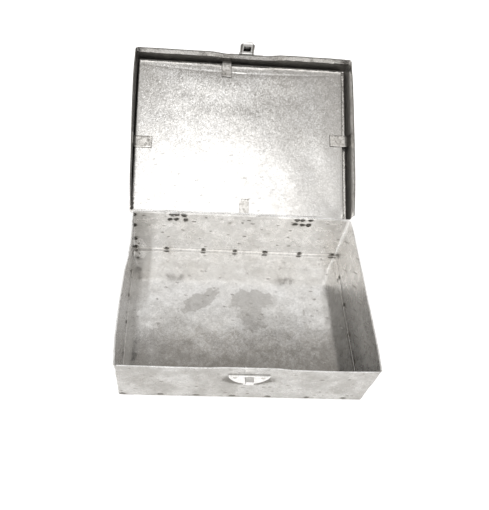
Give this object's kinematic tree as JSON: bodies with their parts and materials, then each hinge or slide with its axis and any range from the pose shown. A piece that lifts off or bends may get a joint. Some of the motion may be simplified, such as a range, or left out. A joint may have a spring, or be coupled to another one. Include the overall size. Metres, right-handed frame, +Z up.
{
  "type": "tackle box",
  "caption": "Sheet-steel tackle box: open tray body, hinged lid with a loose panel held by bent tabs, pocketed hasp and staple.",
  "frame": {"origin": "centre of the box's underside, on the surface it stands on", "axes": "+Z up, +X to the right across the width, -Y towards the latch side, +Y towards the hinges"},
  "size_m": [0.2608, 0.3834, 0.1839],
  "materials": {
    "body_sheet": "galvanised, dull, scuffed",
    "pan_sheet": "galvanised, glossy, stained",
    "lid_sheet": "galvanised, dull",
    "panel_sheet": "galvanised with fine spangle, satin",
    "tab_strip": "crumpled strip, dull",
    "hinge_leaf": "zinc plated",
    "latch_plate": "bright nickel plate, worn",
    "pin_wire": "drawn wire",
    "rivet": "peened"
  },
  "bodies": {
    "body": {"wall_band": "body_sheet", "floor_pan": "pan_sheet", "left_hinge_body_leaf": "hinge_leaf", "right_hinge_body_leaf": "hinge_leaf", "left_hinge_pin": "pin_wire", "right_hinge_pin": "pin_wire", "catch_plate": "latch_plate", "left_catch_rivet": "rivet", "right_catch_rivet": "rivet"},
    "lid": {"lid_shell": "lid_sheet", "lid_panel": "panel_sheet", "front_tab": "tab_strip", "rear_tab": "tab_strip", "left_tab": "tab_strip", "right_tab": "tab_strip", "left_hinge_lid_leaf": "hinge_leaf", "right_hinge_lid_leaf": "hinge_leaf", "hasp_plate": "latch_plate", "left_hasp_rivet": "rivet", "right_hasp_rivet": "rivet", "hasp_pin": "pin_wire"},
    "hasp": {"hasp": "latch_plate"}
  },
  "joints": [
    {"name": "lid_hinge", "type": "hinge", "parent": "body", "child": "lid", "pos_m": [0, 0.0989, 0.066], "axis": [1, 0, 0], "range_deg": [0, 152]},
    {"name": "hasp_swing", "type": "hinge", "parent": "lid", "child": "hasp", "pos_m": [0.0018, 0.27009, 0.16835], "axis": [-1, 0, 0], "range_deg": [-22, 90]}
  ]
}
